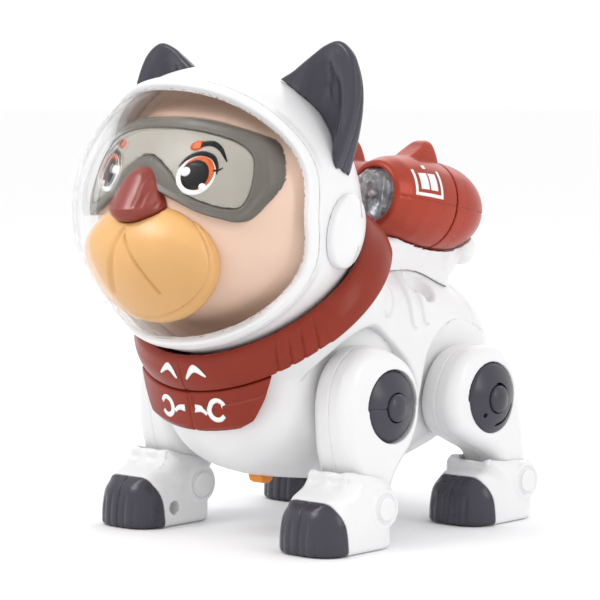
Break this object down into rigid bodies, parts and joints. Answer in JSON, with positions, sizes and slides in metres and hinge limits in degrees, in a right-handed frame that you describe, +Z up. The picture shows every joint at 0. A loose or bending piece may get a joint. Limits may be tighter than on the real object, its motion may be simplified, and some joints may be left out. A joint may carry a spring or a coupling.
{
  "type": "robot dog toy",
  "caption": "Walking robot dog toy with a round space helmet, clear visor, goggles, collar and a twin rocket pack with lamps.",
  "frame": {"origin": "middle of the toy's bounding box, on the surface its paws stand on", "axes": "+Z up, the dog faces -Y, +X is the dog's left side"},
  "size_m": [0.1532, 0.2262, 0.2299],
  "materials": {
    "white_plastic": "satin gloss",
    "dark_grey_plastic": "gloss",
    "red_brown_plastic": "gloss",
    "pearl_red_plastic": "pearl satin",
    "face_plastic": "matte",
    "muzzle_plastic": "satin",
    "nose_plastic": "satin",
    "goggle_plastic": "satin",
    "lens_print": "satin with printed eyes",
    "clear_plastic": "clear gloss",
    "chrome_plastic": "mirror",
    "amber_plastic": "satin",
    "black_plastic": "matte",
    "steel": "turned",
    "circuit_board": "solder mask"
  },
  "bodies": {
    "body": {"body_shell_left": "white_plastic", "body_shell_right": "white_plastic", "battery_door": "white_plastic", "jet_bracket": "white_plastic", "collar_ring": "red_brown_plastic", "chest_plate": "red_brown_plastic", "rocket_shell_left": "pearl_red_plastic", "rocket_shell_right": "pearl_red_plastic", "rocket_cap_left": "pearl_red_plastic", "rocket_cap_right": "pearl_red_plastic", "lamp_lens_left": "clear_plastic", "lamp_lens_right": "clear_plastic", "lamp_reflector_left": "chrome_plastic", "lamp_reflector_right": "chrome_plastic", "gearbox_case": "black_plastic", "speaker": "black_plastic", "battery_pack": "black_plastic", "drive_motor": "steel", "front_axle": "steel", "rear_axle": "steel", "control_board": "circuit_board"},
    "head": {"helmet_shell": "white_plastic", "helmet_rim": "white_plastic", "visor": "clear_plastic", "ear_left": "dark_grey_plastic", "ear_right": "dark_grey_plastic", "helmet_disc_left": "white_plastic", "helmet_disc_right": "white_plastic", "neck_post": "black_plastic", "face_shell": "face_plastic", "goggles_frame": "goggle_plastic", "goggles_lens": "lens_print", "nose": "nose_plastic", "muzzle": "muzzle_plastic"},
    "power_switch": {"power_switch_knob": "amber_plastic"},
    "leg_fl": {"leg_shell_fl": "white_plastic", "leg_disc_fl": "dark_grey_plastic", "leg_button_fl": "dark_grey_plastic"},
    "paw_fl": {"paw_shell_fl": "white_plastic", "toe_cap_fl": "dark_grey_plastic", "ankle_pin_fl": "white_plastic"},
    "leg_fr": {"leg_shell_fr": "white_plastic", "leg_disc_fr": "dark_grey_plastic", "leg_button_fr": "dark_grey_plastic"},
    "paw_fr": {"paw_shell_fr": "white_plastic", "toe_cap_fr": "dark_grey_plastic", "ankle_pin_fr": "white_plastic"},
    "leg_rl": {"leg_shell_rl": "white_plastic", "leg_disc_rl": "dark_grey_plastic", "leg_button_rl": "dark_grey_plastic"},
    "paw_rl": {"paw_shell_rl": "white_plastic", "toe_cap_rl": "dark_grey_plastic", "ankle_pin_rl": "white_plastic"},
    "leg_rr": {"leg_shell_rr": "white_plastic", "leg_disc_rr": "dark_grey_plastic", "leg_button_rr": "dark_grey_plastic"},
    "paw_rr": {"paw_shell_rr": "white_plastic", "toe_cap_rr": "dark_grey_plastic", "ankle_pin_rr": "white_plastic"}
  },
  "joints": [
    {"name": "head_turn", "type": "hinge", "parent": "body", "child": "head", "pos_m": [0, -0.04671, 0.1525], "axis": [0, -0.6018, 0.7986], "range_deg": [-20, 20]},
    {"name": "power_switch_slide", "type": "slide", "parent": "body", "child": "power_switch", "axis": [0, 1, 0], "range_m": [0, 0.004]},
    {"name": "leg_swing_fl", "type": "hinge", "parent": "body", "child": "leg_fl", "pos_m": [0.056, -0.00171, 0.063], "axis": [1, 0, 0], "range_deg": [-8, 8]},
    {"name": "leg_swing_fr", "type": "hinge", "parent": "body", "child": "leg_fr", "pos_m": [-0.056, -0.00171, 0.063], "axis": [1, 0, 0], "range_deg": [-8, 8]},
    {"name": "leg_swing_rl", "type": "hinge", "parent": "body", "child": "leg_rl", "pos_m": [0.056, 0.07369, 0.0604], "axis": [1, 0, 0], "range_deg": [-8, 8]},
    {"name": "leg_swing_rr", "type": "hinge", "parent": "body", "child": "leg_rr", "pos_m": [-0.056, 0.07369, 0.0604], "axis": [1, 0, 0], "range_deg": [-8, 8]},
    {"name": "ankle_fl", "type": "hinge", "parent": "leg_fl", "child": "paw_fl", "pos_m": [0.0578, -0.01541, 0.0185], "axis": [1, 0, 0], "range_deg": [-8, 8]},
    {"name": "ankle_fr", "type": "hinge", "parent": "leg_fr", "child": "paw_fr", "pos_m": [-0.0578, -0.01541, 0.0185], "axis": [1, 0, 0], "range_deg": [-8, 8]},
    {"name": "ankle_rl", "type": "hinge", "parent": "leg_rl", "child": "paw_rl", "pos_m": [0.0545, 0.09428, 0.0189], "axis": [1, 0, 0], "range_deg": [-8, 8]},
    {"name": "ankle_rr", "type": "hinge", "parent": "leg_rr", "child": "paw_rr", "pos_m": [-0.0545, 0.09428, 0.0189], "axis": [1, 0, 0], "range_deg": [-8, 8]}
  ],
  "couplings": [
    {"joint": "leg_swing_fr", "follows": "leg_swing_fl", "ratio": -1},
    {"joint": "leg_swing_rl", "follows": "leg_swing_fl", "ratio": -1},
    {"joint": "leg_swing_rr", "follows": "leg_swing_fl", "ratio": 1},
    {"joint": "ankle_fl", "follows": "leg_swing_fl", "ratio": -1},
    {"joint": "ankle_fr", "follows": "leg_swing_fl", "ratio": 1},
    {"joint": "ankle_rl", "follows": "leg_swing_fl", "ratio": 1},
    {"joint": "ankle_rr", "follows": "leg_swing_fl", "ratio": -1}
  ]
}
